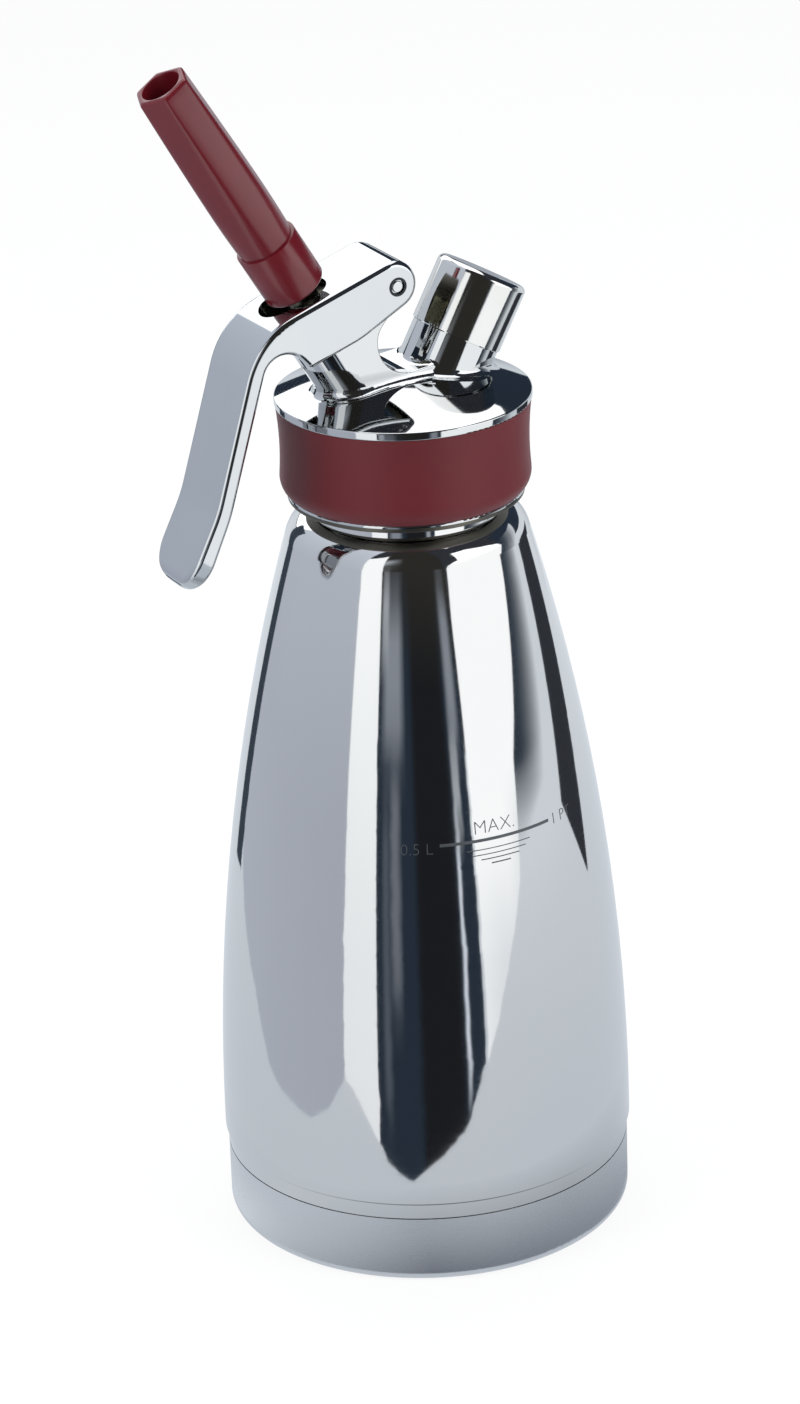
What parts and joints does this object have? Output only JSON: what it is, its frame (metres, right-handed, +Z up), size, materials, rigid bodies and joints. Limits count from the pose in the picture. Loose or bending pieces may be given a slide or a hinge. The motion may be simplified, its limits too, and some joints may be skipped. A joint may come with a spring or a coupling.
{
  "type": "whipped cream dispenser",
  "caption": "Double-walled steel cream dispenser: tapered vacuum flask, screwed head with grip band, press lever, slanted nozzle and charger port with screw cap.",
  "frame": {"origin": "centre of the base on the standing plane", "axes": "+Z up along the flask's axis; the lever and the nozzle point to -X, the charger port to +X, the lever's pin runs along Y"},
  "size_m": [0.1178, 0.1034, 0.3061],
  "materials": {
    "polished_steel": "mirror polished stainless steel",
    "satin_steel": "satin stainless steel",
    "inner_steel": "electropolished stainless steel",
    "getter_metal": "matt",
    "chrome": "mirror polished",
    "valve_steel": "turned stainless steel",
    "brass": "turned brass",
    "red_silicone": "satin silicone rubber",
    "red_plastic": "satin gloss",
    "seal_rubber": "matt"
  },
  "bodies": {
    "flask": {"outer_shell": "polished_steel", "inner_vessel": "inner_steel", "outer_bottom": "inner_steel", "getter": "getter_metal", "base_cup": "satin_steel", "neck_ring": "inner_steel"},
    "head_seal": {"head_gasket": "seal_rubber"},
    "head": {"head_casting": "chrome", "grip_band": "red_silicone", "lever_pin": "chrome", "guide_bush": "brass", "stem_o_ring": "seal_rubber", "valve_spring": "valve_steel", "piercing_body": "brass", "piercing_pin": "valve_steel", "port_seal": "seal_rubber", "check_valve": "seal_rubber"},
    "lever": {"press_lever": "chrome"},
    "valve": {"valve_stem": "valve_steel", "valve_gasket": "seal_rubber", "valve_nut": "valve_steel"},
    "nozzle_seat": {"nozzle_seal": "seal_rubber"},
    "nozzle": {"nozzle": "red_plastic"},
    "cap_seat": {"cap_liner": "seal_rubber"},
    "cap": {"charger_cap": "chrome"}
  },
  "joints": [
    {"name": "head_lift", "type": "slide", "parent": "flask", "child": "head_seal", "axis": [0, 0, 1], "range_m": [0, 0.0121]},
    {"name": "head_turn", "type": "hinge", "parent": "head_seal", "child": "head", "pos_m": [0, 0, 0.2], "axis": [0, 0, 1], "range_deg": [0, 1440]},
    {"name": "lever_press", "type": "hinge", "parent": "head", "child": "lever", "pos_m": [-0.0057, 0, 0.2468], "axis": [0, -1, 0], "range_deg": [0, 12], "stiffness_Nm_per_rad": 1.4, "springref_deg": -5.73},
    {"name": "valve_push", "type": "slide", "parent": "head", "child": "valve", "axis": [0.512, 0, -0.859], "range_m": [0, 0.0024], "deforming": ["valve_spring"]},
    {"name": "nozzle_lift", "type": "slide", "parent": "valve", "child": "nozzle_seat", "axis": [-0.512, 0, 0.859], "range_m": [0, 0.0101]},
    {"name": "nozzle_turn", "type": "hinge", "parent": "nozzle_seat", "child": "nozzle", "pos_m": [-0.0093, 0, 0.217], "axis": [-0.512, 0, 0.859], "range_deg": [0, 2880]},
    {"name": "cap_lift", "type": "slide", "parent": "head", "child": "cap_seat", "axis": [0.4848, 0, 0.8746], "range_m": [0, 0.0121]},
    {"name": "cap_turn", "type": "hinge", "parent": "cap_seat", "child": "cap", "pos_m": [0.0088, 0, 0.217], "axis": [0.4848, 0, 0.8746], "range_deg": [0, 2880]}
  ],
  "couplings": [
    {"joint": "head_lift", "follows": "head_turn", "m_per_rad": 0.00047746},
    {"joint": "valve_push", "follows": "lever_press", "m_per_rad": 0.0112},
    {"joint": "nozzle_lift", "follows": "nozzle_turn", "m_per_rad": 0.00019894},
    {"joint": "cap_lift", "follows": "cap_turn", "m_per_rad": 0.00023873}
  ]
}
